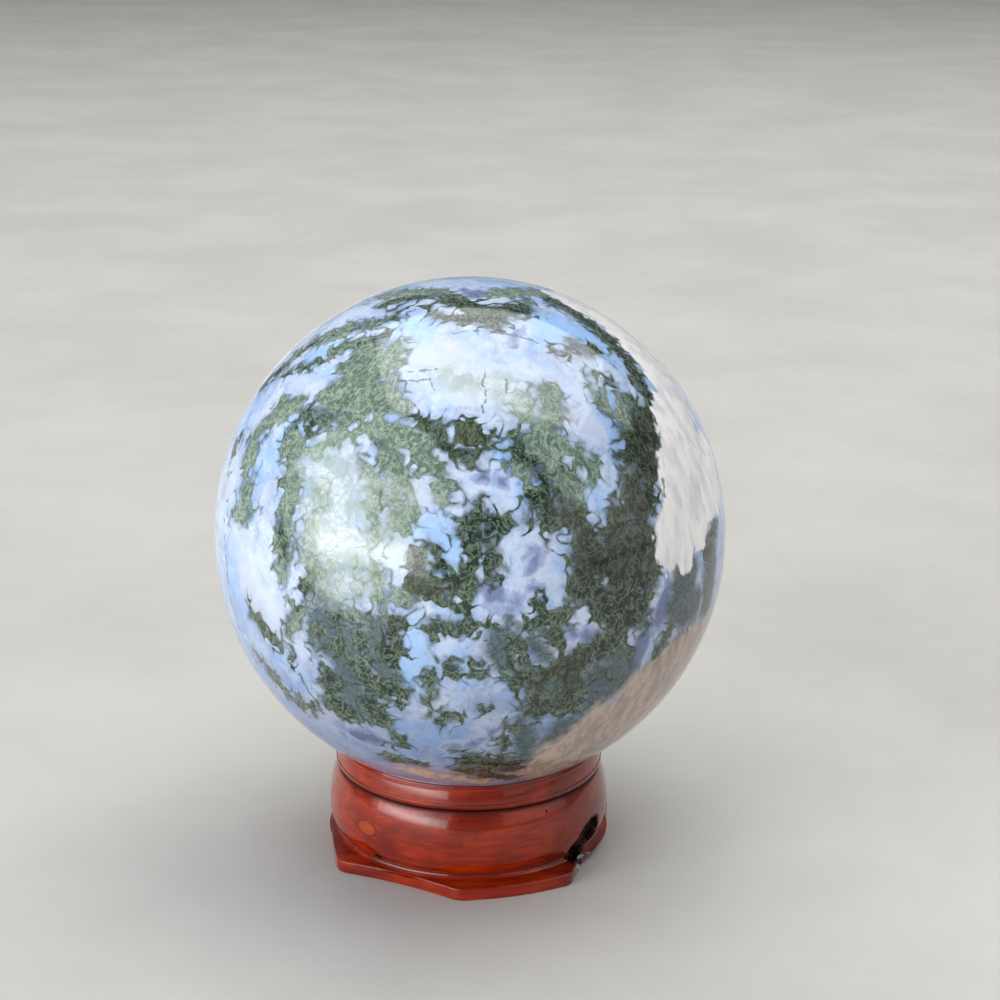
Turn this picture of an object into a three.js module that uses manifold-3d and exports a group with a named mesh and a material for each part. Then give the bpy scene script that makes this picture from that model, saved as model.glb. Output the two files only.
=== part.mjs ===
// A polished moss agate sphere resting in a small turned and lacquered wooden stand.
// Millimetres, +Z up. The origin is the middle of the stand's underside, straight below the sphere's centre, and the
// front of the stand faces -Y.
import * as THREE from "three";
import { mergeVertices } from "three/addons/utils/BufferGeometryUtils.js";
import Module from "manifold-3d";

const wasm = await Module();
wasm.setup();

// Driving dimensions
const sphereRadius = 30;
const sphereCentreHeight = 38.7;
const seatGap = 0.3; // clearance between the stone and the cup that carries it
const sphereSides = 64;

const turningSides = 64;
const seatEdgeRadius = 15.4; // where the cup ends at the rim
const rimRadius = 15.75; // outer corner of the rim
const beadRadius = 16.1; // small round bead under the collar
const grooveRadius = 15.55;
const shoulderRadius = 16.1; // where the round body begins under the groove
const bulgeRadius = 16.9; // widest part of the round body
const ankleRadius = 16; // where the round body draws in above the foot plate
const coveRadius = 17; // where the small cove runs out on the foot plate

const rimHeight = 12.65;
const beadHeight = 10.65;
const grooveHeight = 10.05;
const shoulderHeight = 9.45;
const bulgeHeight = 4.9;
const ankleHeight = 2;
const softening = 0.2; // rounding of the rim, the bead and the shoulder

const plateThickness = 1.5;
const plateEdgeRound = 0.15;
const plateCornerRound = 1.3;

// The hand-cut foot plate, corner by corner round the axis: direction in degrees from +X, distance from the axis, and
// how far the side that follows bows out (or in, when negative).
const plateCorners = [
  { direction: -144, distance: 19.2, bow: -0.5 },
  { direction: -92, distance: 18.9, bow: 0.5 },
  { direction: -51, distance: 19.1, bow: 0 },
  { direction: 17, distance: 18.4, bow: 0.2 },
  { direction: 70, distance: 18.6, bow: 0.3 },
  { direction: 118, distance: 18.9, bow: 0.1 },
  { direction: 165, distance: 17.6, bow: 0.3 },
];

// Hollows left by one knot that runs down through the round body and the foot plate: direction and distance of the
// middle, its height, half sizes round the stand, across it and upwards, and the lean to the side in degrees.
const knotHollows = [
  { direction: -32, distance: 17.1, height: 3.6, half: [2.9, 2.0, 1.8], lean: -25 },
  { direction: -39.5, distance: 16.4, height: 2.4, half: [1.5, 2.0, 1.5], lean: 0 },
  { direction: -37, distance: 17.6, height: 0.9, half: [2.1, 1.3, 1.1], lean: 0 },
];

const finishes = {
  stone: { color: 0x9aa8b8, roughness: 0.12, metalness: 0 },
  lacqueredWood: { color: 0x8c2f14, roughness: 0.25, metalness: 0 },
};

function mesh(name, geometry, finish) {
  const made = new THREE.Mesh(geometry, new THREE.MeshStandardMaterial(finish));
  made.name = name;
  return made;
}

function polar(directionInDegrees, distance) {
  const angle = THREE.MathUtils.degToRad(directionInDegrees);
  return new THREE.Vector2(distance * Math.cos(angle), distance * Math.sin(angle));
}

// A closed geometry as a manifold-3d solid.
function solid(geometry) {
  const bare = geometry.clone();
  bare.deleteAttribute("normal");
  bare.deleteAttribute("uv");
  const merged = mergeVertices(bare, 1e-4);
  return new wasm.Manifold(
    new wasm.Mesh({
      numProp: 3,
      vertProperties: merged.attributes.position.array,
      triVerts: new Uint32Array(merged.index.array),
    }),
  );
}

function geometryOf(body) {
  const { vertProperties, triVerts } = body.getMesh();
  const geometry = new THREE.BufferGeometry();
  geometry.setAttribute("position", new THREE.BufferAttribute(vertProperties, 3));
  geometry.setIndex(new THREE.BufferAttribute(triVerts, 1));
  geometry.computeVertexNormals();
  return geometry;
}

function agateSphere() {
  const ball = new THREE.SphereGeometry(sphereRadius, sphereSides, sphereSides / 2);
  ball.rotateX(Math.PI / 2);
  return mesh("agate_sphere", ball, finishes.stone);
}

// The turned profile as radius and height, from the underside of the body up the outside and down into the cup.
function turnedProfile() {
  const seatRadius = sphereRadius + seatGap;
  const seatEdgeAngle = Math.asin(seatEdgeRadius / seatRadius);
  const bodyFloor = plateThickness / 2; // the body is sunk into the foot plate, and the two are one piece
  const outside = new THREE.Path();
  outside.moveTo(0, bodyFloor);
  outside.lineTo(ankleRadius, bodyFloor);
  outside.lineTo(coveRadius, plateThickness - plateEdgeRound);
  outside.quadraticCurveTo(ankleRadius, plateThickness, ankleRadius, ankleHeight);
  outside.quadraticCurveTo(bulgeRadius, ankleHeight + 1, bulgeRadius, bulgeHeight);
  outside.quadraticCurveTo(bulgeRadius, shoulderHeight - 1.9, shoulderRadius, shoulderHeight);
  outside.quadraticCurveTo(shoulderRadius - softening, grooveHeight, grooveRadius, grooveHeight);
  outside.quadraticCurveTo(beadRadius, grooveHeight, beadRadius, beadHeight);
  outside.lineTo(beadRadius - softening, beadHeight + softening);
  outside.lineTo(rimRadius, rimHeight - softening);
  outside.quadraticCurveTo(rimRadius, rimHeight, rimRadius - softening, rimHeight);
  const cup = new THREE.EllipseCurve(
    0,
    sphereCentreHeight,
    seatRadius,
    seatRadius,
    seatEdgeAngle - Math.PI / 2,
    -Math.PI / 2,
    true,
  );
  return [...outside.getPoints(4), ...cup.getPoints(7)];
}

// The foot plate's outline: each side is a shallow curve, and each corner is rounded over.
function plateOutline() {
  const corners = plateCorners.map(({ direction, distance }) => polar(direction, distance));
  const outline = new THREE.Shape();
  corners.forEach((corner, i) => {
    const before = corners.at(i - 1);
    const after = corners[(i + 1) % corners.length];
    const leaveBefore = before.clone().lerp(corner, 1 - plateCornerRound / before.distanceTo(corner));
    const leaveAfter = corner.clone().lerp(after, plateCornerRound / corner.distanceTo(after));
    if (i === 0) outline.moveTo(leaveBefore.x, leaveBefore.y);
    outline.quadraticCurveTo(corner.x, corner.y, leaveAfter.x, leaveAfter.y);
    const arrive = after.clone().lerp(corner, plateCornerRound / corner.distanceTo(after));
    const middle = corner.clone().add(after).multiplyScalar(0.5);
    const bowed = middle.clone().setLength(middle.length() + 2 * plateCorners[i].bow);
    outline.quadraticCurveTo(bowed.x, bowed.y, arrive.x, arrive.y);
  });
  return outline;
}

function footPlate() {
  return new THREE.ExtrudeGeometry(plateOutline(), {
    depth: plateThickness - 2 * plateEdgeRound,
    bevelThickness: plateEdgeRound,
    bevelSize: plateEdgeRound,
    bevelOffset: -plateEdgeRound,
    bevelSegments: 2,
    curveSegments: 5,
  }).translate(0, 0, plateEdgeRound);
}

function knotHollow({ direction, distance, height, half, lean }) {
  const place = polar(direction, distance);
  const hollow = new THREE.IcosahedronGeometry(1, 2).scale(...half);
  hollow.rotateY(THREE.MathUtils.degToRad(lean));
  hollow.rotateZ(THREE.MathUtils.degToRad(direction + 90));
  return hollow.translate(place.x, place.y, height);
}

function stand() {
  const turned = new THREE.LatheGeometry(turnedProfile(), turningSides).rotateX(Math.PI / 2);
  let body = solid(turned).add(solid(footPlate()));
  for (const hollow of knotHollows) body = body.subtract(solid(knotHollow(hollow)));
  return mesh("stand", geometryOf(body), finishes.lacqueredWood);
}

const part = new THREE.Group();
const sphere = agateSphere();
sphere.position.z = sphereCentreHeight;
part.add(stand(), sphere);

export default part;
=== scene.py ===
"""A polished moss agate sphere resting in its small turned and lacquered stand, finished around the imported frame.

Metres, +Z up, the front faces -Y. A direction on the stone is (azimuth, elevation) in degrees seen from its middle:
azimuth 0 is the front and grows to the right, elevation 90 is the top.
"""
import math

import bpy
import numpy as np
from mathutils import Matrix, Vector, noise


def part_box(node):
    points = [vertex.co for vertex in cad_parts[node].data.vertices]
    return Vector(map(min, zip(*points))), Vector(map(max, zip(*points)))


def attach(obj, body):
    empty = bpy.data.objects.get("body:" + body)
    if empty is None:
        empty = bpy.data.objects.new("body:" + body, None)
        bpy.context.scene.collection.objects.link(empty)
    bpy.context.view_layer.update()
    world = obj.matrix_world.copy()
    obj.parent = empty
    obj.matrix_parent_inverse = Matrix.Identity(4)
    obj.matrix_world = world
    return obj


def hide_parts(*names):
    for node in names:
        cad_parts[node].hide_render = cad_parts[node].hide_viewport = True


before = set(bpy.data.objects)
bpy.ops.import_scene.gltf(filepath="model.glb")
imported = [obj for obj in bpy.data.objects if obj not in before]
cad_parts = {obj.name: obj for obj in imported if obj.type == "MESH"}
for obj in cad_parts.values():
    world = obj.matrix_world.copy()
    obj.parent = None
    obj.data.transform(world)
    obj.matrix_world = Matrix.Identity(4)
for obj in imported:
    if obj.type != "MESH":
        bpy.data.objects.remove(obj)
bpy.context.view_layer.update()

MM = 0.001

# --- Sizes, from the frame where it holds them ----------------------------------------------------------------

stone_low, stone_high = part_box("agate_sphere")
stone_centre = (stone_low + stone_high) / 2
stone_radius = (stone_high.z - stone_low.z) / 2
faces_along_stone_edge = (10, 12)  # the block is divided twice, 120 faces along each of its edges

turning_sides = 192
seat_clearance = 0.06 * MM
seat_edge_radius = 15.4 * MM
rim_radius, rim_height = 15.6 * MM, 12.65 * MM
bead_radius, bead_height = 16.1 * MM, 10.65 * MM
groove_radius, groove_height = 15.55 * MM, 10.05 * MM
shoulder_radius, shoulder_height = 16.1 * MM, 9.45 * MM
bulge_radius, bulge_height = 16.9 * MM, 4.9 * MM
ankle_radius, ankle_height = 16 * MM, 2 * MM
cove_radius = 17 * MM
softening = 0.2 * MM

plate_thickness = 1.5 * MM
plate_edge_round = 0.15 * MM
plate_corner_round = 1.3 * MM

# The hand-cut foot plate: direction in degrees from +X, distance in mm, and how far the following side bows out.
plate_corners = [
    (-144, 19.2, -0.5),
    (-92, 18.9, 0.5),
    (-51, 19.1, 0.0),
    (17, 18.4, 0.2),
    (70, 18.6, 0.3),
    (118, 18.9, 0.1),
    (165, 17.6, 0.3),
]

# The hollows that one knot leaves: direction, distance, height, half sizes round, across and up, and lean, in mm.
knot_hollows = [
    (-32, 17.1, 3.6, (2.9, 2.0, 1.8), -25),
    (-39.5, 16.4, 2.4, (1.5, 2.0, 1.5), 0),
    (-37, 17.6, 0.9, (2.1, 1.3, 1.1), 0),
]
chipped_hollow = knot_hollows[2]  # the break in the foot plate, which shows bare wood
small_pits = [
    (-129.5, 16.9, 2.4, (0.8, 0.8, 0.5), 10),
    (-56, 16.4, 9.0, (0.12, 0.3, 0.22), 20),
    (-104, 15.95, 12.3, (0.22, 0.3, 0.12), 0),
]
grown_over_knot = (-135.2, 16.85, 5.9)  # a small round knot on the left of the front: direction, distance, height

# --- The stone's growths: how far each reaches to the sides, in degrees, and the line that it follows ---------

stroke_squeeze = 0.97  # the strokes stand this much nearer to the middle than their azimuths say

moss_strokes = [
    # over the top
    (2.6, [(-28, 78), (-14, 76), (0, 74), (15, 73), (28, 72), (40, 72)]),
    (1.8, [(-24, 70), (-12, 69), (4, 69), (18, 69)]),
    (0.9, [(3, 67), (10, 66), (15, 66)]),
    (1.6, [(-72, 70), (-62, 74), (-48, 77), (-34, 78)]),
    (1.2, [(-56, 69), (-45, 72), (-33, 73)]),
    # down the right side
    (2.6, [(76, 72), (73, 66), (71, 61), (69, 56), (66, 51), (64, 46), (62, 42), (60, 38), (58, 34)]),
    (1.3, [(45, 57), (49, 56), (53, 56)]),
    (0.7, [(35, 58), (38, 56), (41, 57)]),
    (0.6, [(44, 50), (48, 46)]),
    (0.8, [(50, 42), (55, 41)]),
    # strands on the upper left
    (1.5, [(-88, 38), (-82, 44), (-80, 50), (-76, 55), (-68, 59), (-62, 62), (-52, 65), (-46, 67)]),
    (1.1, [(-74, 44), (-68, 47), (-62, 50)]),
    (1.7, [(-60, 53), (-54, 56), (-48, 58), (-42, 61)]),
    (1.4, [(-39, 45), (-33, 47), (-28, 47)]),
    (1.3, [(-33, 44), (-27, 44), (-23, 43)]),
    (1.1, [(-43, 36), (-40, 41), (-37, 45)]),
    (0.8, [(-46, 44), (-46, 49)]),
    (1.1, [(-45, 53), (-41, 57)]),
    (1.8, [(-50, 38), (-47, 37), (-45, 38)]),
    (1.2, [(-48, 35), (-44, 34)]),
    (1.1, [(-52, 35), (-54, 32), (-51, 29)]),
    (1.2, [(-51, 30), (-48, 27), (-45, 26), (-44, 23), (-46, 21), (-46, 18)]),
    (0.7, [(-49, 23), (-47, 21)]),
    (0.8, [(-43, 18), (-43, 14)]),
    (2.1, [(-46, 14), (-44, 11), (-44, 8)]),
    (0.5, [(-46, 10), (-46, 5)]),
    (1.4, [(-79, 25), (-78, 21)]),
    (1, [(-70, 11), (-67, 12)]),
    # the middle
    (0.9, [(-22, 42), (-16, 41)]),
    (1.7, [(-15, 41), (-10, 40)]),
    (2.3, [(-10, 38), (-7, 36)]),
    (2.3, [(-6, 35.5), (-3, 34.5), (0, 34)]),
    (0.9, [(-3, 40), (-2, 38), (-2, 36)]),
    (1.1, [(0, 41), (1, 39), (1, 37)]),
    (0.9, [(2, 39), (6, 39)]),
    (1.1, [(3, 37), (4, 35), (2, 34)]),
    (0.6, [(1, 24), (2, 24)]),
    (2.2, [(4, 21), (6, 20)]),
    (2.5, [(-1, 18), (2, 17), (5, 18)]),
    (1.8, [(4, 16), (4.5, 13), (4, 10)]),
    (1.6, [(1, 15), (1, 12)]),
    (2.4, [(-11, 13), (-11, 11), (-12, 8)]),
    (0.8, [(-9, 15), (-7, 14)]),
    (1.9, [(-6, 12), (-5, 10)]),
    (2.2, [(-12, 6), (-7, 6), (-4, 7), (-1, 10)]),
    (1.5, [(1, 8), (0.5, 5)]),
    (1.5, [(-3, 3), (0, 2)]),
    (1.6, [(-7, -1), (-4, -1), (0, -1)]),
    (0.9, [(-8, -3), (-8, -4)]),
    # right of the middle
    (1.1, [(11, 38), (13, 39), (16, 37), (17, 34)]),
    (1.5, [(11, 34), (13, 36)]),
    (2.1, [(12, 33), (15, 32), (17, 29), (18, 27)]),
    (1.3, [(12, 28), (14, 26)]),
    (3, [(15, 25), (17, 22), (18, 20)]),
    (0.6, [(12, 23), (12.5, 18)]),
    (3.3, [(22, 28), (23, 23), (24, 19)]),
    # the large mass on the right
    (4.6, [(53, 36), (50, 32), (47, 28)]),
    (3, [(45, 34), (43, 30), (42, 26)]),
    (5, [(42, 22), (39, 18)]),
    (7, [(28, 12), (33, 12), (37, 12)]),
    (4, [(40, 14), (41, 8)]),
    (5, [(33, 4), (39, 4)]),
    (4.5, [(25, 5), (32, -1), (38, -2)]),
    (1.6, [(21, 2), (20, 0)]),
    (1.8, [(70, 10), (67, 6), (64, 4)]),
    # lower right
    (1.2, [(15, 4.5), (14.5, 3)]),
    (1.5, [(3, -1), (9, -1.5), (13, -1), (19, 0)]),
    (1.2, [(15, -3), (17, -4)]),
    (1.4, [(9, -3), (10, -6), (11, -10)]),
    (1.2, [(19, -4), (19, -9)]),
    (2.4, [(11, -13), (15, -15), (18, -13)]),
    (3.6, [(15, -18), (17, -22)]),
    (1.6, [(12, -25), (10, -29), (9, -34), (8, -38)]),
    (3.2, [(0, -39), (6, -40), (12, -42)]),
    (4.5, [(0, -46), (12, -47), (20, -46)]),
    (4, [(29, -9), (25, -10.5), (21, -12)]),
    (3.2, [(21, -16), (22, -20)]),
    (2.4, [(33, -8), (30, -15)]),
    (2.8, [(34, -6), (31, -9)]),
    (3, [(24, -15), (21, -18)]),
    (1.8, [(36, -12), (33, -16)]),
    (2.2, [(22, -23), (27, -22), (31, -23)]),
    (1.7, [(46, -15), (48, -11), (50, -8)]),
    (1.6, [(52, -16), (56, -12)]),
    (0.7, [(8, -12), (7, -13)]),
    # lower left
    (2.6, [(-16, -1), (-17, -4)]),
    (3, [(-17, -8), (-18, -13), (-18, -17)]),
    (2.4, [(-24, -5), (-23, -12), (-23, -17)]),
    (3.4, [(-24, -21), (-22, -25)]),
    (3, [(-30, -26), (-34, -24)]),
    (2.4, [(-34, -20), (-33, -16)]),
    (1.9, [(-29, -8), (-28, -12)]),
    (2.2, [(-34, -6), (-33, -9)]),
    (2.4, [(-29, -2), (-22, -2)]),
    (1.7, [(-38, 0), (-36, 4), (-35, 6)]),
    (0.9, [(-30, 3), (-29, 3)]),
    (1.5, [(-40, -3), (-40, -6)]),
    (0.8, [(-37, -5), (-37, -9)]),
    (1.4, [(-56, -7), (-54, -9), (-50, -12), (-47, -12)]),
    (0.9, [(-44, -9), (-42, -5), (-40, -2)]),
    (0.8, [(-43, -13), (-44, -17)]),
    (1.6, [(-58, -20), (-55, -23), (-51, -27), (-47, -29)]),
    (1.2, [(-47, -27), (-43, -28)]),
    (1.3, [(-19, -30), (-18, -33)]),
    (1, [(-22, -36), (-18, -35)]),
    (0.9, [(-24, -40), (-19, -41), (-13, -43)]),
    # small islands in the lower middle
    (1.6, [(-5, -9.5), (-4, -11)]),
    (0.9, [(0, -9), (2, -10), (3, -9)]),
    (0.7, [(0, -12), (2, -12)]),
    (0.8, [(-8, -12), (-7, -12)]),
    (0.7, [(-9, -14), (-8.5, -17), (-10, -19)]),
    (0.9, [(-15, -18.5), (-13.5, -18)]),
    (0.5, [(-15.5, -19.5), (-16, -21)]),
    (1.3, [(-8, -26), (-6, -24), (-3, -23)]),
    (0.3, [(-3, -23), (1, -22), (4, -21.5)]),
]
# Where clear stone is left open inside the moss.
clearings = [
    (2.6, [(28, 27), (28, 24), (31, 20)]),
    (1.8, [(33, 28), (34, 24)]),
    (2.3, [(24, 0), (24, -4), (27, -4), (22, -4)]),
    (1.6, [(14, -6), (17, -8), (15, -10)]),
    (1.4, [(28, -17), (30, -14), (34, -13)]),
    (1.5, [(47, 5), (44, -3), (41, -8), (40, -14)]),
    (2, [(13, -30), (17, -30), (16, -36)]),
    (0.9, [(-26, -6), (-26, -10)]),
    (1, [(-28, -13), (-29, -17)]),
    (1, [(-20, -12), (-19, -13)]),
    (1.4, [(-5, 41), (-4, 40)]),
]
pale_moss_strokes = [
    # the grey-green mass on the upper left
    (5, [(-43, 55), (-41, 51), (-37, 47)]),
    (4, [(-44, 45), (-40, 43), (-33, 45), (-28, 46)]),
    (3, [(-33, 52), (-33, 57)]),
    (2, [(-25, 44), (-20, 43)]),
    (2.2, [(-33, 41), (-37, 38)]),
    (2.4, [(-58, 39), (-64, 35), (-68, 30), (-67, 25), (-63, 20), (-62, 16)]),
    (1.6, [(-66, 13), (-62, 13), (-58, 15)]),
    (2.4, [(-28, 38), (-22, 38), (-15, 36), (-10, 33)]),
    (0.8, [(-27, 41), (-24, 36), (-18, 31), (-16, 26), (-16, 20)]),
    (1.2, [(-35, 24), (-37, 18), (-36, 12)]),
    (1.4, [(-43, 30), (-37, 35), (-30, 37)]),
    (3, [(-21, 34), (-17, 28), (-16, 20)]),
    (1.8, [(-26, 30), (-22, 26), (-21, 16)]),
    (1.8, [(-20, 10), (-18, 0)]),
    (1.2, [(-31, 14), (-29, 4), (-24, -2)]),
    (0.8, [(-23, 18), (-23, 10), (-24, 2)]),
    (1.8, [(-20, 4), (-13, 4)]),
    (1.6, [(-38, 16), (-36, 10), (-32, 5)]),
    (2.6, [(-51, 32), (-46, 24), (-45, 12), (-44, 6)]),
    (2.2, [(-82, 46), (-76, 54), (-66, 60), (-54, 64)]),
    (1.8, [(-60, 53), (-50, 57)]),
    (2.2, [(-38, -2), (-41, -6)]),
    # the top
    (2.4, [(38, 80), (62, 78), (84, 75)]),
    (2, [(-90, 70), (-75, 76), (-50, 80)]),
    # right of the middle
    (2.6, [(24, 47), (25, 43), (21, 40), (22, 36), (21, 32)]),
    (2, [(15, 45), (17, 40)]),
    (3.4, [(17, 36), (20, 31), (23, 26)]),
    (1.6, [(11, 31), (14, 27)]),
    (1.6, [(42, 45), (42, 42)]),
    (2.4, [(48, 41), (46, 38)]),
    (1.5, [(26, 33), (29, 31), (31, 30), (31, 28)]),
    (2, [(-8, 31), (-7, 28), (-7, 25)]),
]
# Moss that lies deeper in the stone and shows through it as a soft haze.
sunken_moss_strokes = [
    (5.5, [(22, -14), (28, -21), (34, -17)]),
    (3, [(28, -8), (34, -11)]),
    (5, [(-32, -4), (-27, -12), (-27, -22)]),
    (3, [(-20, -3), (-18, -16)]),
    (3, [(-38, 46), (-42, 40)]),
    (3, [(14, 36), (18, 30), (21, 34)]),
    (5, [(54, 3), (53, -4), (58, -6)]),
    (4, [(66, 4), (66, -8)]),
    (2.4, [(-36, 4), (-30, 0)]),
    (2, [(13, -5), (17, -9)]),
    (2.6, [(14, -30), (15, -36)]),
    (3.2, [(6, -4), (8, -9)]),
    (2.2, [(36, -13), (30, -20)]),
    (3, [(24, -28), (22, -36), (18, -40)]),
    (2, [(47, 58), (51, 55)]),
    (1.8, [(-4, 8), (0, 8)]),
    (2, [(12, 34), (17, 36)]),
    (2, [(-26, -9), (-28, -16)]),
]
milk_strokes = [
    (5.5, [(66, 37), (60, 28), (54, 20), (51, 13), (50, 9)]),
    (8, [(96, 66), (88, 54), (80, 44), (74, 35), (70, 28)]),
    (7, [(66, 25), (62, 18), (60, 13)]),
    (5, [(56, 13), (54, 8)]),
    (1.5, [(49, 8), (48, 4)]),
    (6, [(78, 22), (73, 15)]),
    (5, [(-112, 62), (-104, 52), (-98, 40)]),
    (6, [(180, 70), (-110, 60)]),
    (6, [(110, 50), (180, 70)]),
]
# Soft bluish white.
mist_strokes = [
    (4, [(30, 48), (30, 42)]),
    (2.5, [(-47, -32), (-42, -34)]),
    (6, [(-62, 10), (-58, 2), (-52, -3), (-46, -6)]),
    (5, [(-64, 44), (-56, 45), (-52, 44)]),
    (4, [(-72, 22), (-70, 17)]),
    (8, [(-20, 56), (-6, 55), (2, 50)]),
    (4, [(16, 55), (24, 52)]),
    (5, [(35, 45), (34, 36)]),
    (3.5, [(-12, 26), (-12, 22)]),
    (3, [(-3, -4), (2, -5)]),
    (2, [(-55, 20), (-54, 16)]),
    (3, [(46, 24), (45, 18)]),
]
cream_strokes = [
    (13.5, [(80, -26), (64, -24), (53, -26), (48, -30), (44, -33), (39, -38), (35, -42)]),
    (7, [(36, -47), (26, -48)]),
    (3, [(27, -34), (26, -42)]),
    (3, [(-20, -47), (-8, -49), (6, -53)]),
]
clear_strokes = [
    (1.8, [(4, 29), (8, 28)]),
    (2.4, [(14, 14), (13, 10)]),
    (2.8, [(5, 6), (8, 3)]),
    (1.4, [(20, 63), (24, 63)]),
    (2.5, [(8, 80), (40, 80)]),
    (2, [(22, -4), (26, -5)]),
    (1.5, [(28, -17), (31, -14)]),
    (1.7, [(40, -9), (40, -16)]),
    (2, [(48, 2), (44, -6)]),
    (1.6, [(54, -7), (56, -9)]),
    (1.6, [(2, -32), (-4, -34)]),
    (1, [(4, -27), (5, -28)]),
    (1.8, [(14, -7), (16, -9)]),
    (2.5, [(-34, -33), (-26, -34)]),
]
blue_strokes = [
    (4, [(-8, 19), (-4, 15)]),
    (2, [(-45, 31), (-42, 29)]),
    (1.8, [(-55, 36), (-55, 32)]),
    (2.4, [(-68, 51), (-60, 55)]),
    (4, [(-36, 67), (-26, 66)]),
    (6, [(38, 67), (46, 63)]),
    (5, [(54, 58), (60, 52)]),
    (5, [(-12, -5), (-12, -13)]),
    (1.5, [(-6, 41), (-4, 40)]),
    (4, [(8, 35), (9, 30)]),
    (2.5, [(30, 25), (31, 21)]),
]
veil_strokes = [
    (12, [(-37, 26), (-32, 19), (-28, 9)]),
    (6, [(-18, 24), (-18, 14)]),
    (8, [(-8, 52), (4, 50), (14, 46)]),
]
# Where the moss turns from green to olive brown.
olive_strokes = [
    (7, [(24, 26), (26, 20)]),
    (12, [(38, 20), (50, 30)]),
    (6, [(24, 12), (40, 11)]),
    (10, [(62, -8), (80, 0)]),
    (8, [(16, -46), (0, -46)]),
    (6, [(-10, 38), (-2, 34)]),
    (3, [(-34, -7), (-33, -8)]),
    (5, [(-20, 4), (-8, 5)]),
    (7, [(16, -18), (22, -14)]),
]
hairlines = [
    (0.35, [(-67, 12), (-70, 5), (-68, 0), (-68, -8), (-66, -15), (-62, -22)]),
    (0.25, [(-22, 52), (-17, 53), (-12, 53)]),
    (0.25, [(-25, 50), (-18, 50), (-14, 51), (-12, 48)]),
    (0.3, [(5, 53), (4, 50), (4, 46), (3, 43)]),
    (0.3, [(12, 51), (11, 48)]),
    (0.3, [(-9, 64), (0, 65), (15, 64), (25, 62), (30, 60)]),
    (0.25, [(-19, 33), (-17, 31), (-16, 28)]),
    (0.35, [(-21, 25), (-21, 23), (-20, 21)]),
    (0.5, [(-42, -20), (-40, -25), (-39, -29)]),
    (0.4, [(47, 27), (48, 23), (50, 20), (51, 24)]),
    (0.3, [(36, 8), (37, 11), (39, 13)]),
    (0.3, [(35, 4), (35, 7)]),
]


# --- Modelling helpers ----------------------------------------------------------------------------------------


def start_alone():
    if bpy.context.object and bpy.context.object.mode != "OBJECT":
        bpy.ops.object.mode_set(mode="OBJECT")
    bpy.ops.object.select_all(action="DESELECT")


def named(name):
    """The object that was just added, with its name and its mesh's."""
    piece = bpy.context.object
    piece.name = name
    piece.data.name = name
    return piece


def take_up(piece):
    """Selects this piece alone, in object mode."""
    start_alone()
    piece.select_set(True)
    bpy.context.view_layer.objects.active = piece


def edit(piece):
    take_up(piece)
    bpy.ops.object.mode_set(mode="EDIT")


def leave():
    bpy.ops.object.mode_set(mode="OBJECT")


def finish_with(piece, kind, **settings):
    """Adds a modifier and applies it."""
    take_up(piece)
    modifier = piece.modifiers.new(kind.title(), kind)
    for key, value in settings.items():
        setattr(modifier, key, value)
    bpy.ops.object.modifier_apply(modifier=modifier.name)


def settle(piece):
    """Puts the object's place into its mesh."""
    take_up(piece)
    bpy.ops.object.transform_apply(location=True, rotation=True, scale=True)


def close_up(piece):
    """Merges doubles and turns every face outwards."""
    edit(piece)
    bpy.ops.mesh.select_all(action="SELECT")
    bpy.ops.mesh.remove_doubles(threshold=0.001 * MM)
    bpy.ops.mesh.normals_make_consistent(inside=False)
    leave()


def remove(piece):
    mesh = piece.data
    bpy.data.objects.remove(piece)
    bpy.data.meshes.remove(mesh)


def corners_of(piece):
    co = np.zeros(len(piece.data.vertices) * 3)
    piece.data.vertices.foreach_get("co", co)
    return co.reshape(-1, 3)


def note(piece, name, values):
    """Keeps one value for each vertex, for the materials to read."""
    attribute = piece.data.attributes.new(name, "FLOAT", "POINT")
    attribute.data.foreach_set("value", np.asarray(values, np.float32))


# --- The stone ------------------------------------------------------------------------------------------------


def towards(azimuth, elevation):
    a, e = math.radians(azimuth), math.radians(elevation)
    return np.array([math.cos(e) * math.sin(a), -math.cos(e) * math.cos(a), math.sin(e)])


def depth_in(spots, strokes):
    """How many degrees each spot lies inside the nearest stroke; negative outside."""
    depth = np.full(len(spots), -12.0)
    for reach, line in strokes:
        ends = [towards(azimuth * stroke_squeeze, elevation) for azimuth, elevation in line]
        for a, b in zip(ends, ends[1:]):
            along = np.clip((spots - a) @ (b - a) / ((b - a) @ (b - a)), 0, 1)
            gap = np.linalg.norm(spots - a - along[:, None] * (b - a), axis=1)
            depth = np.maximum(depth, reach - np.degrees(gap))
    return depth


def wandering(spots, size, amount, seed):
    """The spots moved a little by a slow noise; size and amount in degrees."""
    scale = 1 / math.radians(size)
    shifts = [Vector((seed + 17.3 * way, -seed, 2.0 * seed)) for way in range(3)]

    def sway(place):
        # noise.noise is the same in every run; noise_vector and turbulence_vector are not.
        return noise.noise(place) + 0.5 * noise.noise(2 * place)

    moved = [[sway(Vector(spot) * scale + shift) for shift in shifts] for spot in spots]
    return spots + np.array(moved) * math.radians(amount)


def growths_behind(count, widest, seed):
    """Strokes strewn over the half of the stone that faces away from the camera; widest in degrees."""
    camera_side = towards(0, 18)
    behind = -0.06  # a little past the stone's outline
    step = 5  # degrees from one point of a stroke to the next
    chance = np.random.default_rng(seed)
    strokes = []
    while len(strokes) < count:
        azimuth, elevation = chance.uniform(60, 300), math.degrees(math.asin(chance.uniform(-0.97, 0.97)))
        heading = chance.uniform(0, 2 * math.pi)
        line = []
        for _ in range(chance.integers(3, 7)):
            line.append((azimuth, elevation))
            heading += chance.normal(0, 0.7)
            azimuth += step * math.cos(heading) / max(0.25, math.cos(math.radians(elevation)))
            elevation += step * math.sin(heading)
        if all(towards(*place) @ camera_side < behind for place in line):
            strokes.append((widest * chance.uniform(0.3, 1), line))
    return strokes


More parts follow.
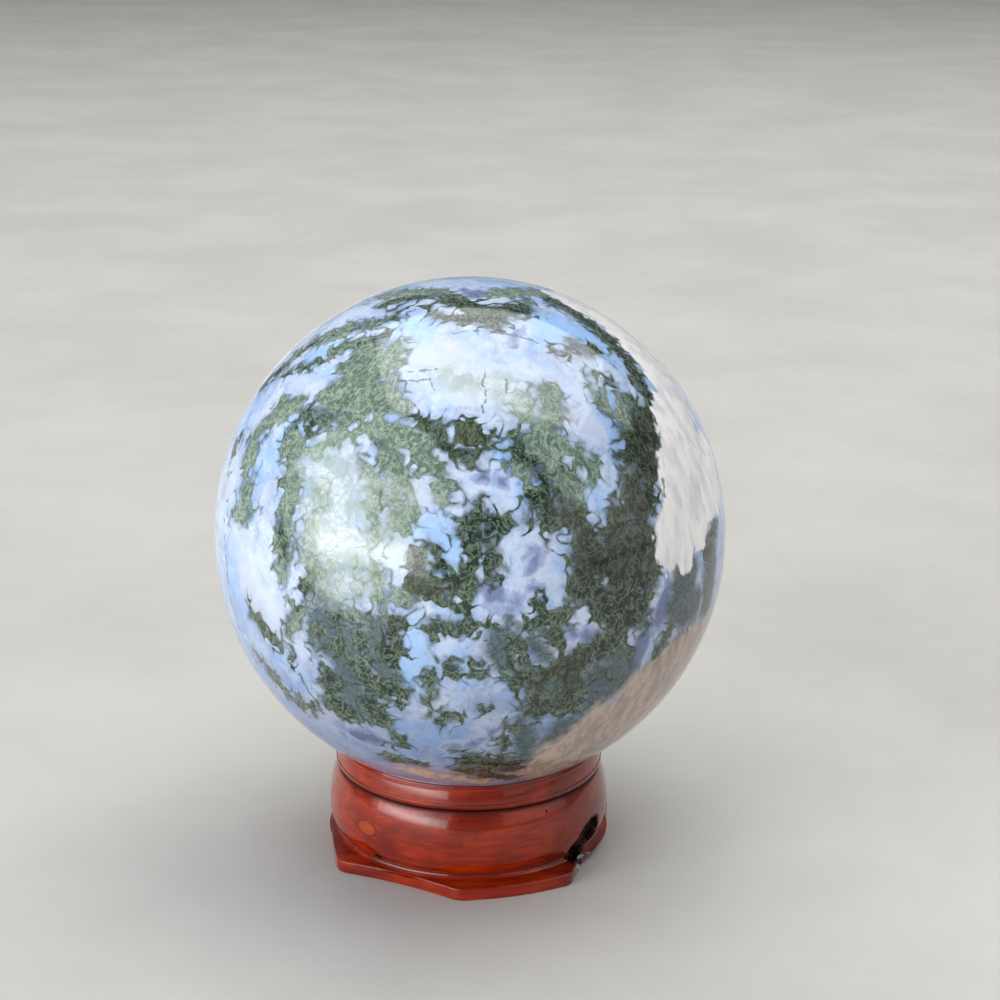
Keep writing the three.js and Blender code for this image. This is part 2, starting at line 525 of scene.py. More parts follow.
def directions_of(stone, middle):
    spots = corners_of(stone) - middle
    return spots / np.linalg.norm(spots, axis=1)[:, None]


def divide_near(stone, strokes, reach, cuts):
    """Divides the faces that lie within reach of the strokes' lines, in degrees, more finely."""
    lines = [(reach, line) for _, line in strokes]
    near = depth_in(directions_of(stone, 0), lines) > 0
    edit(stone)
    bpy.ops.mesh.select_mode(type="VERT")
    bpy.ops.mesh.select_all(action="DESELECT")
    leave()
    stone.data.vertices.foreach_set("select", near)
    edit(stone)
    bpy.ops.mesh.select_mode(type="FACE")
    bpy.ops.mesh.subdivide(number_cuts=cuts)
    leave()


def moss_agate_sphere():
    start_alone()
    bpy.ops.mesh.primitive_cube_add(size=2 * stone_radius, location=stone_centre)
    stone = named("moss_agate_sphere")
    edit(stone)
    bpy.ops.mesh.select_all(action="SELECT")
    for parts in faces_along_stone_edge:
        bpy.ops.mesh.subdivide(number_cuts=parts - 1)
    leave()
    round_off = {"cast_type": "SPHERE", "factor": 1, "size": stone_radius, "use_radius_as_size": False}
    finish_with(stone, "CAST", **round_off)
    divide_near(stone, hairlines, reach=1.0, cuts=3)
    finish_with(stone, "CAST", **round_off)
    settle(stone)
    spots = directions_of(stone, np.array(stone_centre))
    astray = wandering(spots, size=5, amount=0.35, seed=3)
    mossy = depth_in(astray, moss_strokes + growths_behind(110, 5, seed=1))
    note(stone, "moss", np.minimum(mossy, -depth_in(astray, clearings + growths_behind(20, 2, seed=2))))
    for name, strokes in (
        ("pale_moss", pale_moss_strokes + growths_behind(45, 4, seed=3)),
        ("sunken_moss", sunken_moss_strokes + growths_behind(25, 6, seed=4)),
        ("milk", milk_strokes + growths_behind(3, 9, seed=5)),
        ("mist", mist_strokes + growths_behind(14, 7, seed=6)),
        ("cream", cream_strokes),
        ("clear", clear_strokes + growths_behind(16, 3, seed=8)),
        ("blue", blue_strokes + growths_behind(14, 7, seed=9)),
        ("veil", veil_strokes + growths_behind(3, 9, seed=10)),
        ("olive", olive_strokes + growths_behind(12, 11, seed=11)),
    ):
        note(stone, name, depth_in(astray, strokes))
    note(stone, "hairline", depth_in(wandering(spots, size=1.6, amount=0.5, seed=8), hairlines))
    bpy.ops.object.shade_smooth()
    return stone


# --- The stand ------------------------------------------------------------------------------------------------


def curve(start, bend, end, steps):
    """Points of a quadratic curve after its start."""
    points = []
    for i in range(1, steps + 1):
        t = i / steps
        points.append(
            tuple((1 - t) ** 2 * s + 2 * t * (1 - t) * b + t * t * e for s, b, e in zip(start, bend, end))
        )
    return points


def turned_profile():
    """Radius and height of the turned body, from its underside up the outside and down into the cup."""
    floor = plate_thickness / 2
    collar_radius = (bead_radius + rim_radius) / 2
    seat_radius = stone_radius + seat_clearance
    seat_edge_angle = math.asin(seat_edge_radius / seat_radius)
    profile = [(ankle_radius, floor), (cove_radius, plate_thickness - plate_edge_round)]
    for bend, end, steps in (
        ((ankle_radius, plate_thickness), (ankle_radius, ankle_height), 6),
        ((bulge_radius, ankle_height + 1 * MM), (bulge_radius, bulge_height), 14),
        ((bulge_radius, shoulder_height - 1.9 * MM), (shoulder_radius, shoulder_height), 16),
        ((shoulder_radius - softening, groove_height), (groove_radius, groove_height), 6),
        ((bead_radius, groove_height), (bead_radius, bead_height), 8),
        ((bead_radius, bead_height + softening), (bead_radius - softening / 2, bead_height + softening), 4),
        ((collar_radius, (bead_height + rim_height) / 2), (rim_radius, rim_height - softening), 8),
        ((rim_radius, rim_height), (rim_radius - softening / 2, rim_height), 5),
    ):
        profile += curve(profile[-1], bend, end, steps)
    rings = 24
    for i in range(rings):
        angle = seat_edge_angle * (1 - i / rings)
        profile.append((seat_radius * math.sin(angle), stone_centre.z - seat_radius * math.cos(angle)))
    return profile, stone_centre.z - seat_radius


def turned_body():
    """A disc, drawn up ring by ring along the profile as on a lathe."""
    profile, cup_floor = turned_profile()
    radius, height = profile[0]
    start_alone()
    bpy.ops.mesh.primitive_circle_add(
        vertices=turning_sides, radius=radius, fill_type="NGON", location=(0, 0, height)
    )
    body = named("turned_body")
    edit(body)
    bpy.ops.mesh.select_mode(type="VERT")
    bpy.ops.mesh.select_all(action="SELECT")
    for next_radius, next_height in profile[1:]:
        bpy.ops.mesh.extrude_region_move(TRANSFORM_OT_translate={"value": (0, 0, next_height - height)})
        share = next_radius / radius
        bpy.ops.transform.resize(value=(share, share, 1), center_override=(0, 0, next_height))
        radius, height = next_radius, next_height
    bpy.ops.mesh.extrude_region_move(TRANSFORM_OT_translate={"value": (0, 0, cup_floor - height)})
    bpy.ops.mesh.merge(type="CENTER")
    leave()
    settle(body)
    close_up(body)
    return body


def around(direction, distance):
    """The place in plan at a direction in degrees from +X and a distance in mm from the axis."""
    angle = math.radians(direction)
    return Vector((math.cos(angle), math.sin(angle))) * distance * MM


def plate_outline():
    """The foot plate in plan: every corner rounded over, every side slightly bowed."""
    corners = [around(direction, distance) for direction, distance, _ in plate_corners]
    outline = []
    for i, corner in enumerate(corners):
        before, after = corners[i - 1], corners[(i + 1) % len(corners)]
        start = corner + (before - corner).normalized() * plate_corner_round
        end = corner + (after - corner).normalized() * plate_corner_round
        arrive = after + (corner - after).normalized() * plate_corner_round
        middle = (corner + after) / 2
        bowed = middle.normalized() * (middle.length + 2 * plate_corners[i][2] * MM)
        outline += curve(start, corner, end, 7) + curve(end, bowed, arrive, 9)
    return outline


def foot_plate():
    """A flat blank with the hand-cut outline, drawn up to its thickness, its edges eased."""
    outline = plate_outline()
    start_alone()
    bpy.ops.mesh.primitive_circle_add(vertices=len(outline), radius=19 * MM, fill_type="NGON", location=(0, 0, 0))
    plate = named("foot_plate")
    rim = sorted(plate.data.vertices, key=lambda vertex: math.atan2(vertex.co.y, vertex.co.x))
    for vertex, (x, y) in zip(rim, sorted(outline, key=lambda point: math.atan2(point[1], point[0]))):
        vertex.co = (x, y, 0)
    edit(plate)
    bpy.ops.mesh.select_all(action="SELECT")
    bpy.ops.mesh.extrude_region_move(TRANSFORM_OT_translate={"value": (0, 0, plate_thickness)})
    bpy.ops.mesh.select_all(action="SELECT")
    bpy.ops.mesh.normals_make_consistent(inside=False)
    leave()
    settle(plate)
    eased = {"limit_method": "ANGLE", "angle_limit": math.radians(60)}
    finish_with(plate, "BEVEL", width=plate_edge_round, segments=3, **eased)
    close_up(plate)
    return plate


def hollow_frame(direction, distance, height, half, lean):
    """The place, turn and half sizes of a hollow, as one matrix in metres."""
    turn = Matrix.Rotation(math.radians(direction + 90), 4, "Z") @ Matrix.Rotation(math.radians(lean), 4, "Y")
    place = Matrix.Translation((*around(direction, distance), height * MM))
    return place @ turn @ Matrix.Diagonal((*(size * MM for size in half), 1))


def hollow_cutter(hollow_matrix, seed):
    """A rough ball that cuts one hollow."""
    start_alone()
    bpy.ops.mesh.primitive_ico_sphere_add(subdivisions=5, radius=1, location=(0, 0, 0))
    cutter = named("hollow_cutter")
    for vertex in cutter.data.vertices:
        vertex.co *= 1 + 0.12 * noise.fractal(vertex.co * 1.7 + Vector((seed, 0, 0)), 0.6, 2.0, 5)
    cutter.matrix_world = hollow_matrix
    settle(cutter)
    return cutter


def turned_stand():
    stand = turned_body()
    stand.name = "turned_stand"
    plate = foot_plate()
    finish_with(stand, "BOOLEAN", operation="UNION", solver="EXACT", object=plate)
    remove(plate)
    hollows = [hollow_frame(*hollow) for hollow in knot_hollows + small_pits]
    for hollow in hollows:
        cutter = hollow_cutter(hollow, seed=hollow.translation.x / MM)
        finish_with(stand, "BOOLEAN", operation="DIFFERENCE", solver="EXACT", object=cutter)
        remove(cutter)
    close_up(stand)
    # Kept for the material: 0.2 on a hollow's own wall, falling to 0 at a fifth of its size outside it.
    reach = 1.2
    spots = np.c_[corners_of(stand), np.ones(len(stand.data.vertices))]
    from_middles = [np.linalg.norm((spots @ np.array(hollow.inverted()).T)[:, :3], axis=1) for hollow in hollows]
    note(stand, "hollow", reach - np.min(from_middles, axis=0))
    note(stand, "chipped", reach - from_middles[knot_hollows.index(chipped_hollow)])
    take_up(stand)
    bpy.ops.object.shade_smooth_by_angle(angle=math.radians(35))
    return stand


# --- Shading helpers ------------------------------------------------------------------------------------------


def shade(red, green, blue):
    """A colour given as a screen shows it, 0 to 255, as the light that it stands for."""
    linear = [((c / 255 + 0.055) / 1.055) ** 2.4 if c > 10 else c / 255 / 12.92 for c in (red, green, blue)]
    return (*linear, 1)


class Nodes:
    """Adds nodes to one tree. An input is a plain value or another node's output."""

    def __init__(self, tree):
        self.tree = tree

    def add(self, kind, inputs=None, output=0, **settings):
        node = self.tree.nodes.new(kind)
        for key, value in settings.items():
            setattr(node, key, value)
        self.feed(node, inputs or {})
        return node.outputs[output]

    def feed(self, node, inputs):
        for key, value in inputs.items():
            if isinstance(value, bpy.types.NodeSocket):
                self.tree.links.new(value, node.inputs[key])
            else:
                node.inputs[key].default_value = value

    def noise(self, place, scale, detail=2, roughness=0.5, distortion=0, seed=0, output=0):
        shifted = self.add("ShaderNodeVectorMath", {0: place, 1: (seed, 1.7 * seed, -seed)}, operation="ADD")
        inputs = {
            "Vector": shifted,
            "Scale": scale,
            "Detail": detail,
            "Roughness": roughness,
            "Distortion": distortion,
        }
        return self.add("ShaderNodeTexNoise", inputs, output)

    def math(self, operation, a, b=0.0):
        return self.add("ShaderNodeMath", {0: a, 1: b}, operation=operation)

    def ease(self, value, low, high, start=0.0, end=1.0):
        """Runs smoothly from start to end as the value goes from low to high."""
        inputs = {"Value": value, "From Min": low, "From Max": high, "To Min": start, "To Max": end}
        return self.add("ShaderNodeMapRange", inputs, interpolation_type="SMOOTHSTEP")

    def mix(self, share, below, above, blend="MIX"):
        return self.add(
            "ShaderNodeMix", {0: share, 6: below, 7: above}, output=2, data_type="RGBA", blend_type=blend
        )

    def kept(self, name):
        """A value kept on the mesh."""
        return self.add("ShaderNodeAttribute", output="Fac", attribute_name=name, attribute_type="GEOMETRY")

    def scaled_about(self, value, amount):
        """A noise made to swing to both sides of zero."""
        return self.math("MULTIPLY", self.math("SUBTRACT", value, 0.5), amount)

    def line(self, value, middle, half):
        """1 where the value is at the middle, 0 at half away from it."""
        off = self.math("ABSOLUTE", self.math("SUBTRACT", value, middle))
        return self.ease(off, 0, half, 1, 0)


def new_material(name):
    material = bpy.data.materials.new(name)
    material.use_nodes = True
    material.node_tree.nodes.clear()
    return material, Nodes(material.node_tree)


def millimetres(nodes):
    """The piece's own place in millimetres."""
    place = nodes.add("ShaderNodeTexCoord", output="Object")
    return nodes.add("ShaderNodeVectorMath", {0: place, "Scale": 1 / MM}, operation="SCALE")


def stirred(nodes, place, scale, amount, detail=2, seed=0):
    """The place moved by a noise, so that what follows wanders."""
    swirl = nodes.noise(place, scale, detail=detail, seed=seed, output=1)
    centred = nodes.add("ShaderNodeVectorMath", {0: swirl, 1: (0.5, 0.5, 0.5)}, operation="SUBTRACT")
    moved = nodes.add("ShaderNodeVectorMath", {0: centred, "Scale": amount}, operation="SCALE")
    return nodes.add("ShaderNodeVectorMath", {0: place, 1: moved}, operation="ADD")


def polish_group():
    """Fine hairlines and smears of a hand-polished surface: a roughness and a height."""
    group = bpy.data.node_groups.new("hand_polish", "ShaderNodeTree")
    group.interface.new_socket("Place", in_out="INPUT", socket_type="NodeSocketVector")
    base = group.interface.new_socket("Gloss", in_out="INPUT", socket_type="NodeSocketFloat")
    base.default_value = 0.06
    smear = group.interface.new_socket("Smears", in_out="INPUT", socket_type="NodeSocketFloat")
    smear.default_value = 0.1
    group.interface.new_socket("Roughness", in_out="OUTPUT", socket_type="NodeSocketFloat")
    group.interface.new_socket("Height", in_out="OUTPUT", socket_type="NodeSocketFloat")
    nodes = Nodes(group)
    given = group.nodes.new("NodeGroupInput").outputs
    smears = nodes.ease(nodes.noise(given["Place"], 0.12, detail=4, roughness=0.6, distortion=0.8), 0.45, 0.75)
    fine = nodes.noise(given["Place"], 3.0, detail=3, roughness=0.7)
    rough = nodes.math("ADD", given["Gloss"], nodes.math("MULTIPLY", smears, given["Smears"]))
    out = group.nodes.new("NodeGroupOutput").inputs
    group.links.new(rough, out["Roughness"])
    group.links.new(fine, out["Height"])
    return group


def use_group(nodes, group, inputs):
    node = nodes.tree.nodes.new("ShaderNodeGroup")
    node.node_tree = group
    nodes.feed(node, inputs)
    return node.outputs


def surface(nodes, inputs):
    shader = nodes.add("ShaderNodeBsdfPrincipled", inputs)
    out = nodes.tree.nodes.new("ShaderNodeOutputMaterial")
    nodes.tree.links.new(shader, out.inputs["Surface"])


# --- Materials ------------------------------------------------------------------------------------------------


def moss_agate(polish):
    material, nodes = new_material("moss_agate")
    place = millimetres(nodes)
    swirled = stirred(nodes, place, 0.3, 2.2, detail=3, seed=4)
    curled = stirred(nodes, place, 0.45, 1.3, detail=1, seed=53)
    height = nodes.add("ShaderNodeSeparateXYZ", {"Vector": place}, output=2)

    # Chalcedony: cloudy periwinkle, and pools where it is clear, deeper and greyer.
    clouds = nodes.noise(swirled, 0.13, detail=3, roughness=0.5, seed=11)
    wisps = nodes.noise(swirled, 0.3, detail=4, roughness=0.52, distortion=0.5, seed=23)
    body = nodes.mix(nodes.ease(clouds, 0.36, 0.64), shade(158, 192, 240), shade(200, 217, 242))
    body = nodes.mix(nodes.ease(wisps, 0.44, 0.64, 0, 0.6), body, shade(160, 168, 200))
    flecks = nodes.noise(swirled, 0.75, detail=3, roughness=0.6, distortion=0.4, seed=37)
    body = nodes.mix(nodes.ease(flecks, 0.5, 0.66, 0, 0.45), body, shade(216, 224, 236))
    body = nodes.mix(nodes.ease(flecks, 0.46, 0.34, 0, 0.3), body, shade(124, 148, 190))
    blue = nodes.ease(nodes.kept("blue"), -2, 4)
    body = nodes.mix(nodes.math("MULTIPLY", blue, 0.7), body, shade(156, 200, 252))
    clear = nodes.math("ADD", nodes.kept("clear"), nodes.scaled_about(wisps, 16))
    mist = nodes.math("ADD", nodes.kept("mist"), nodes.scaled_about(wisps, 14))
    body = nodes.mix(nodes.ease(mist, -1, 6, 0, 0.6), body, shade(210, 218, 234))
    body = nodes.mix(nodes.ease(clear, -3.5, -0.5, 0, 0.6), body, shade(206, 216, 238))
    body = nodes.mix(nodes.ease(clear, -0.8, 0.8, 0, 0.75), body, shade(142, 160, 206))
    body = nodes.mix(nodes.ease(clear, 0.6, 2.6, 0, 0.8), body, shade(106, 116, 156))
    # Painted shade: the colour darkens from 4 mm above the stone's middle to 22 mm below it.
    equator = stone_centre.z / MM
    painted_lower_shade = nodes.mix(1, body, shade(184, 182, 188), "MULTIPLY")
    body = nodes.mix(nodes.ease(height, equator + 4, equator - 22), body, painted_lower_shade)

    # Moss: lobes and fingers with a dark outline, and inside them a felt of small dark curls, edged with pale strands
    # and a painted highlight.
    lobes = nodes.noise(curled, 0.42, detail=2.5, roughness=0.45, seed=41)
    fingers = nodes.noise(curled, 0.55, detail=1, roughness=0.4, seed=61)
    curls = nodes.noise(curled, 1.05, detail=2, roughness=0.45, distortion=0.15, seed=71)
    drawn_out = nodes.add("ShaderNodeMapping", {"Vector": curled, "Scale": (1.0, 1.0, 0.55)})
    crumbs = nodes.noise(drawn_out, 1.9, detail=2, distortion=0.4, seed=77)
    felt = nodes.noise(curled, 0.3, detail=4, roughness=0.6, seed=67)
    sunken = nodes.noise(swirled, 0.4, detail=4, roughness=0.6, seed=73)
    finger = nodes.scaled_about(nodes.line(fingers, 0.5, 0.12), 1.9)
    fray = nodes.math("ADD", finger, nodes.scaled_about(curls, 2.2))
    fray = nodes.math("ADD", nodes.scaled_about(lobes, 5.5), fray)
    fray = nodes.math("ADD", fray, 0.5)
    dark_growth, pale_growth = nodes.kept("moss"), nodes.kept("pale_moss")
    growth = nodes.math("MINIMUM", nodes.math("MAXIMUM", dark_growth, pale_growth), 2.2)
    depth = nodes.math("ADD", growth, fray)
    paleness = nodes.math("ADD", nodes.math("SUBTRACT", pale_growth, dark_growth), fray)
    paleness = nodes.ease(paleness, -1, 2)

    core = nodes.math("MAXIMUM", nodes.line(fingers, 0.5, 0.035), nodes.line(curls, 0.47, 0.06))
    busy = nodes.ease(sunken, 0.56, 0.42, 0.25, 0.95)
    core = nodes.math("MAXIMUM", core, nodes.math("MULTIPLY", nodes.line(crumbs, 0.46, 0.07), busy))
    # Pale lines beside the dark curls: partly pale strands, partly a painted highlight that makes the felt look
    # embossed.
    pale_strand_highlight = nodes.math("MAXIMUM", nodes.line(fingers, 0.545, 0.025), nodes.line(curls, 0.56, 0.045))
    pale_strand_highlight = nodes.math("MAXIMUM", pale_strand_highlight, nodes.math("MULTIPLY", nodes.line(crumbs, 0.59, 0.05), busy))
    olive = nodes.ease(nodes.math("ADD", nodes.kept("olive"), nodes.scaled_about(clouds, 14)), -2, 3)
    tone = nodes.math("ADD", nodes.math("MULTIPLY", felt, 0.5), nodes.math("MULTIPLY", crumbs, 0.5))
    tone = nodes.ease(tone, 0.4, 0.62)
    green = nodes.mix(tone, shade(17, 33, 28), shade(40, 57, 51))
    brown = nodes.mix(tone, shade(28, 35, 28), shade(57, 65, 53))
    moss = nodes.mix(olive, green, brown)
    clump = nodes.ease(growth, 2.2, 0.6, 0, 0.5)  # small clumps are greener and lighter than the masses
    moss = nodes.mix(clump, moss, nodes.mix(tone, shade(62, 84, 62), shade(104, 120, 88)))
    moss = nodes.mix(nodes.ease(sunken, 0.54, 0.68, 0, 0.5), moss, shade(126, 148, 160))
    moss = nodes.mix(nodes.math("MULTIPLY", core, 0.7), moss, nodes.mix(olive, shade(20, 40, 34), shade(46, 54, 40)))
    moss = nodes.mix(nodes.math("MULTIPLY", pale_strand_highlight, nodes.ease(olive, 0, 1, 0.34, 0.2)), moss, shade(160, 176, 156))
    pale = nodes.mix(tone, shade(98, 120, 106), shade(142, 160, 147))
    pale = nodes.mix(nodes.math("MULTIPLY", core, 0.45), pale, shade(66, 88, 74))
    pale = nodes.mix(nodes.math("MULTIPLY", pale_strand_highlight, 0.3), pale, shade(196, 208, 196))
    moss = nodes.mix(paleness, moss, pale)
    rim = nodes.math("MULTIPLY", nodes.line(depth, 0.35, 0.5), nodes.ease(paleness, 0.2, 0.9, 0.7, 0.15))
    moss = nodes.mix(rim, moss, shade(30, 50, 42))

    haze = nodes.math("ADD", nodes.math("MAXIMUM", nodes.kept("sunken_moss"), depth), nodes.scaled_about(sunken, 6))
    body = nodes.mix(nodes.ease(haze, -2, 1.8, 0, 0.88), body, shade(68, 81, 82))
    tendrils = nodes.math("MULTIPLY", core, nodes.ease(haze, -1, 1.2, 0, 0.7))
    body = nodes.mix(tendrils, body, shade(44, 68, 62))
    threads = nodes.math("MULTIPLY", nodes.line(curls, 0.53, 0.035), nodes.ease(depth, -5.5, -0.5, 0, 0.32))
    body = nodes.mix(threads, body, shade(112, 138, 138))
    edge = nodes.ease(depth, -0.2, nodes.ease(sunken, 0.38, 0.62, 0.35, 1.9))
    body = nodes.mix(edge, body, moss)

    # Milky bands and cream lie over the moss.
    streaks_place = nodes.add("ShaderNodeMapping", {"Vector": swirled, "Scale": (1.0, 1.0, 0.16)})
    streaks = nodes.noise(streaks_place, 0.7, detail=4, roughness=0.55, seed=31)
    milk = nodes.math("ADD", nodes.kept("milk"), nodes.scaled_about(streaks, 7))
    milk = nodes.math("ADD", milk, nodes.scaled_about(lobes, 6))
    milky = nodes.mix(nodes.ease(streaks, 0.36, 0.6), shade(226, 228, 235), shade(254, 253, 252))
    body = nodes.mix(nodes.ease(milk, 0, 1.2), body, milky)
    cream = nodes.math("ADD", nodes.kept("cream"), nodes.scaled_about(sunken, 11))
    creamy = nodes.mix(nodes.ease(streaks, 0.4, 0.6), shade(158, 140, 130), shade(190, 170, 154))
    body = nodes.mix(nodes.ease(cream, -1, 2.5, 0, 0.95), body, creamy)

    # A pale veil that lies over everything on the left, and healed hairline cracks.
    veil = nodes.math("ADD", nodes.kept("veil"), nodes.scaled_about(felt, 16))
    veil = nodes.ease(veil, -1, 10)
    veiled = nodes.mix(nodes.ease(sunken, 0.42, 0.58), shade(156, 172, 158), shade(206, 217, 222))
    veiled = nodes.mix(nodes.math("MULTIPLY", core, 0.4), veiled, shade(118, 138, 116))
    body = nodes.mix(nodes.math("MULTIPLY", veil, 0.72), body, veiled)
    body = nodes.mix(nodes.ease(nodes.kept("hairline"), -0.1, 0.15, 0, 0.7), body, shade(70, 80, 76))

    polish_out = use_group(nodes, polish, {"Place": place, "Gloss": 0.05, "Smears": 0.05})
    bump = nodes.add("ShaderNodeBump", {"Strength": 0.05, "Distance": 0.02 * MM, "Height": polish_out["Height"]})
    surface(
        nodes,
        {
            "Base Color": body,
            "Roughness": polish_out["Roughness"],
            "IOR": 1.54,
            "Normal": bump,
            "Subsurface Weight": 0.12,
            "Subsurface Radius": (1.0, 1.0, 1.1),
            "Subsurface Scale": 1 * MM,
        },
    )
    return material


def lacquered_wood(polish):
    material, nodes = new_material("lacquered_wood")
    place = millimetres(nodes)
    stretched = nodes.add("ShaderNodeMapping", {"Vector": place, "Scale": (0.12, 0.5, 1.5)})
    grain = nodes.noise(stretched, 1.1, detail=6, roughness=0.6, distortion=0.4, seed=5)
    drawn_out = nodes.add("ShaderNodeMapping", {"Vector": place, "Scale": (0.25, 1, 2.4)})
    pores = nodes.noise(drawn_out, 2.2, detail=3, seed=6)
    pooled = nodes.noise(place, 0.16, detail=3, seed=9)
    ripple = nodes.noise(place, 0.45, detail=2, seed=12)
    red = nodes.mix(nodes.ease(grain, 0.34, 0.66), shade(124, 25, 3), shade(158, 44, 6))
    red = nodes.mix(nodes.ease(pooled, 0.42, 0.66, 0, 0.6), red, shade(90, 13, 3))
    red = nodes.mix(nodes.ease(pores, 0.64, 0.72, 0, 0.3), red, shade(60, 8, 2))
    height = nodes.add("ShaderNodeSeparateXYZ", {"Vector": place}, output=2)
    unsteady = nodes.math("ADD", height, nodes.scaled_about(ripple, 0.4))
    for groove, half, share in ((groove_height, 0.8, 0.9), (ankle_height, 0.4, 0.6)):  # painted shade darkens the groove and the ankle
        painted_groove_shade = nodes.math("MULTIPLY", nodes.line(unsteady, groove / MM, half), share)
        red = nodes.mix(painted_groove_shade, red, shade(40, 4, 2))
    direction, distance, knot_height = grown_over_knot
    middle = (*(around(direction, distance) / MM), knot_height)
    from_knot = nodes.add("ShaderNodeVectorMath", {0: place, 1: middle}, operation="SUBTRACT")
    from_knot = nodes.add("ShaderNodeVectorMath", {0: from_knot, 1: (0.66, 0.66, 1.2)}, operation="MULTIPLY")
    from_knot = nodes.add("ShaderNodeVectorMath", {0: from_knot}, output=1, operation="LENGTH")
    from_knot = nodes.math("ADD", from_knot, nodes.scaled_about(ripple, 0.5))
    knot_ring = nodes.line(from_knot, 1.05, 0.22)
    red = nodes.mix(nodes.ease(from_knot, 1.1, 0.7, 0, 0.35), red, shade(196, 84, 30))
    red = nodes.mix(nodes.math("MULTIPLY", knot_ring, 0.6), red, shade(84, 14, 5))

    # Bare wood in the hollows, mottled from near black to reddish brown.
    inside = nodes.ease(nodes.kept("hollow"), 0.02, 0.14)
    crumbled = nodes.noise(place, 1.1, detail=5, roughness=0.7, seed=15)
    bare = nodes.mix(nodes.ease(crumbled, 0.5, 0.62), shade(14, 7, 6), shade(110, 40, 20))
    red = nodes.mix(inside, red, bare)
    chipped = nodes.ease(nodes.math("ADD", nodes.kept("chipped"), nodes.scaled_about(crumbled, 0.3)), 0.03, 0.12)
    fresh = nodes.mix(nodes.ease(crumbled, 0.44, 0.6), shade(60, 48, 46), shade(196, 186, 182))
    red = nodes.mix(nodes.math("MULTIPLY", chipped, inside), red, fresh)
    polish_out = use_group(nodes, polish, {"Place": place, "Gloss": 0.22, "Smears": 0.2})
    nibs = nodes.ease(nodes.noise(place, 2.6, detail=1, seed=21), 0.68, 0.78)
    relief = nodes.math("ADD", nodes.math("MULTIPLY", polish_out["Height"], 0.3), nodes.math("MULTIPLY", ripple, 2))
    raised = nodes.math("SUBTRACT", nodes.math("MULTIPLY", nibs, 0.6), nodes.math("MULTIPLY", knot_ring, 0.5))
    relief = nodes.math("ADD", relief, raised)
    bump = nodes.add("ShaderNodeBump", {"Strength": 0.5, "Distance": 0.1 * MM, "Height": relief})
    surface(
        nodes,
        {
            "Base Color": red,
            "Roughness": polish_out["Roughness"],
            "IOR": 1.2,
            "Normal": bump,
            "Coat Weight": nodes.math("SUBTRACT", 0.85, nodes.math("MULTIPLY", inside, 0.8)),
            "Coat Roughness": 0.09,
        },
    )
    return material


def pale_floor_material():
    material, nodes = new_material("pale_floor")
    place = millimetres(nodes)
    mottle = nodes.noise(place, 0.02, detail=5, roughness=0.6)
    grain = nodes.noise(place, 1.2, detail=3)
    colour = nodes.mix(nodes.ease(mottle, 0.3, 0.7), shade(196, 194, 190), shade(206, 204, 200))
    bump = nodes.add("ShaderNodeBump", {"Strength": 0.15, "Distance": 0.1 * MM, "Height": grain})
    surface(nodes, {"Base Color": colour, "Roughness": nodes.ease(grain, 0.2, 0.8, 0.55, 0.7), "Normal": bump})
    return material


# --- Stage: floor, light and camera ---------------------------------------------------------------------------


def pale_floor():
    start_alone()
    bpy.ops.mesh.primitive_circle_add(vertices=128, radius=8, fill_type="NGON", location=(0, 0, 0))
    floor = named("pale_floor")
    edit(floor)
    bpy.ops.mesh.select_all(action="SELECT")
    bpy.ops.mesh.extrude_region_move(TRANSFORM_OT_translate={"value": (0, 0, -0.02)})
    bpy.ops.mesh.select_all(action="SELECT")
    bpy.ops.mesh.normals_make_consistent(inside=False)
    leave()
    floor.data.materials.append(pale_floor_material())


def facing(place, target):
    return (Vector(target) - Vector(place)).to_track_quat("-Z", "Y")


def soft_light(name, place, size, power, colour, target=None):
    data = bpy.data.lights.new(name, "AREA")
    data.shape = "RECTANGLE"
    data.size, data.size_y = size
    data.energy = power
    data.color = colour
    light = bpy.data.objects.new(name, data)
    light.location = place
    light.rotation_mode = "QUATERNION"
    light.rotation_quaternion = facing(place, stone_centre if target is None else target)
    bpy.context.scene.collection.objects.link(light)


def veiled_window(name, place, sheets, colour):
    """Sheets of light in front of each other, so that the window is brightest in its middle and has soft edges."""
    for width, tall, strength in sheets:
        soft_light(f"{name}_{width:g}", place, (width, tall), strength * width * tall, colour)


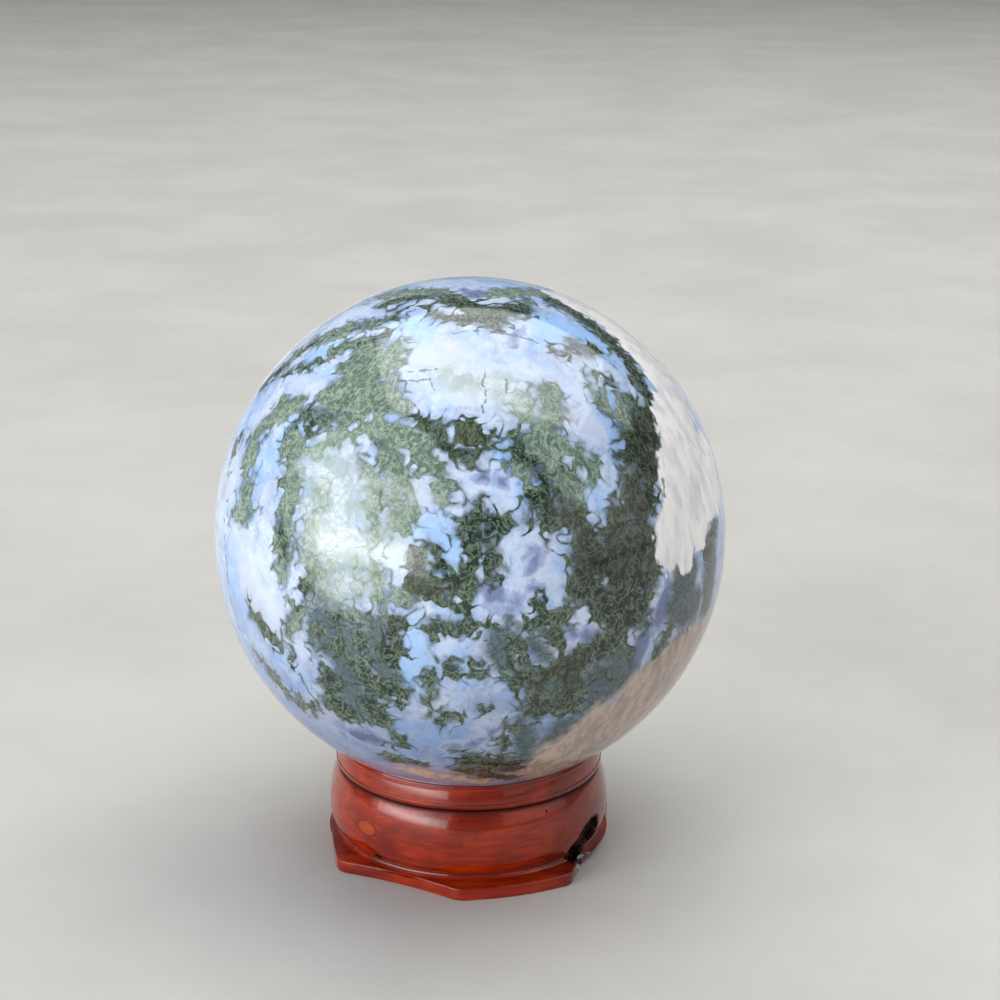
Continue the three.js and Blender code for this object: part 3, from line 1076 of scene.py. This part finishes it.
def studio_light():
    overhead = (0.16, 0.30, 0.95)
    soft_light("overhead_softbox", overhead, (1.4, 1.15), 12, (1, 0.99, 0.97), target=(overhead[0], overhead[1], 0))
    # Width and height in metres, and watts for each square metre. The sill is low, so that the turned collar shows it.
    sheets = ((0.35, 0.2, 8), (0.6, 0.3, 7), (0.85, 0.42, 4), (1.1, 0.6, 3))
    veiled_window("window_left", (-0.58, -0.48, 0.26), sheets, (0.94, 0.97, 1))
    sheets = ((0.4, 0.07, 20), (0.6, 0.11, 14), (0.8, 0.16, 9))
    veiled_window("window_sill", (-0.50, -0.46, 0.10), sheets, (1, 0.98, 0.95))
    sheets = ((0.7, 0.3, 2), (0.9, 0.42, 1.5))
    veiled_window("window_right", (0.66, -0.42, 0.24), sheets, (1, 0.97, 0.94))
    world = bpy.data.worlds.new("soft_surround")
    bpy.context.scene.world = world
    world.use_nodes = True
    background = world.node_tree.nodes["Background"].inputs
    background["Color"].default_value = (0.80, 0.84, 0.88, 1)
    background["Strength"].default_value = 0.22


camera_elevation = math.radians(18.3)
camera_distance = 260 * MM
camera_roll = math.radians(0.4)
stone_half_width = 0.2559  # of the picture's width, at the stone's outline
stone_in_picture = (-0.0296, -0.0315)  # of the stone's middle from the picture's, in picture widths, right and up


def studio_camera():
    half_angle = math.asin(stone_radius / camera_distance)
    focal = stone_half_width / math.tan(half_angle)  # in picture widths
    back = Vector((0, -math.cos(camera_elevation), math.sin(camera_elevation)))
    place = stone_centre + camera_distance * back
    ahead = -back
    right = Vector((1, 0, 0))
    up = right.cross(ahead)
    turned_right = math.cos(camera_roll) * right + math.sin(camera_roll) * up
    turned_up = turned_right.cross(ahead)
    sideways, upwards = (offset / focal for offset in stone_in_picture)
    forward = (ahead - sideways * turned_right - upwards * turned_up).normalized()
    turned_right = (turned_right - forward * turned_right.dot(forward)).normalized()
    turned_up = turned_right.cross(forward)
    data = bpy.data.cameras.new("studio_camera")
    data.sensor_width = 36
    data.lens = focal * data.sensor_width
    data.clip_start = 0.01
    camera = bpy.data.objects.new("studio_camera", data)
    axes = Matrix((turned_right, turned_up, -forward)).transposed().to_4x4()
    camera.matrix_world = Matrix.Translation(place) @ axes
    bpy.context.scene.collection.objects.link(camera)
    bpy.context.scene.camera = camera


# --- Everything together --------------------------------------------------------------------------------------

hand_polish = polish_group()

stone = moss_agate_sphere()
stone.data.materials.append(moss_agate(hand_polish))
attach(stone, "root")
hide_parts("agate_sphere")

stand = turned_stand()
stand.data.materials.clear()
stand.data.materials.append(lacquered_wood(hand_polish))
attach(stand, "root")
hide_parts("stand")

pale_floor()
studio_light()
studio_camera()
bpy.context.scene.view_settings.view_transform = "Standard"
